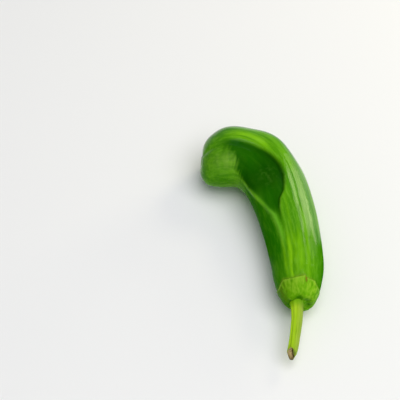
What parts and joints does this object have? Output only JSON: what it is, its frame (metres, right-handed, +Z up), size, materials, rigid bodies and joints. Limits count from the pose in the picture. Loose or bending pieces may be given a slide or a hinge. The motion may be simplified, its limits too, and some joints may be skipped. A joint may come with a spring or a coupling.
{
  "type": "padron pepper",
  "caption": "Green padron pepper as picked: a waxy pod that bends to one side, with a blunt lobed tip, a thin angled calyx and a ribbed stem",
  "frame": {"origin": "under the middle of the pepper's box, on the surface that it lies on", "axes": "+Y runs along its longest extent, from the cut end of the stem towards the bend; +Z is up, away from the surface, along its shortest extent; the blossom end turns towards -X"},
  "size_m": [0.035, 0.0772, 0.0179],
  "materials": {
    "pod": "waxy, glossy green skin",
    "calyx": "satin, lighter green",
    "stem": "satin yellow-green, brown at the cut"
  },
  "bodies": {
    "root": {"pod": "pod", "calyx": "calyx", "stem": "stem"}
  },
  "joints": []
}
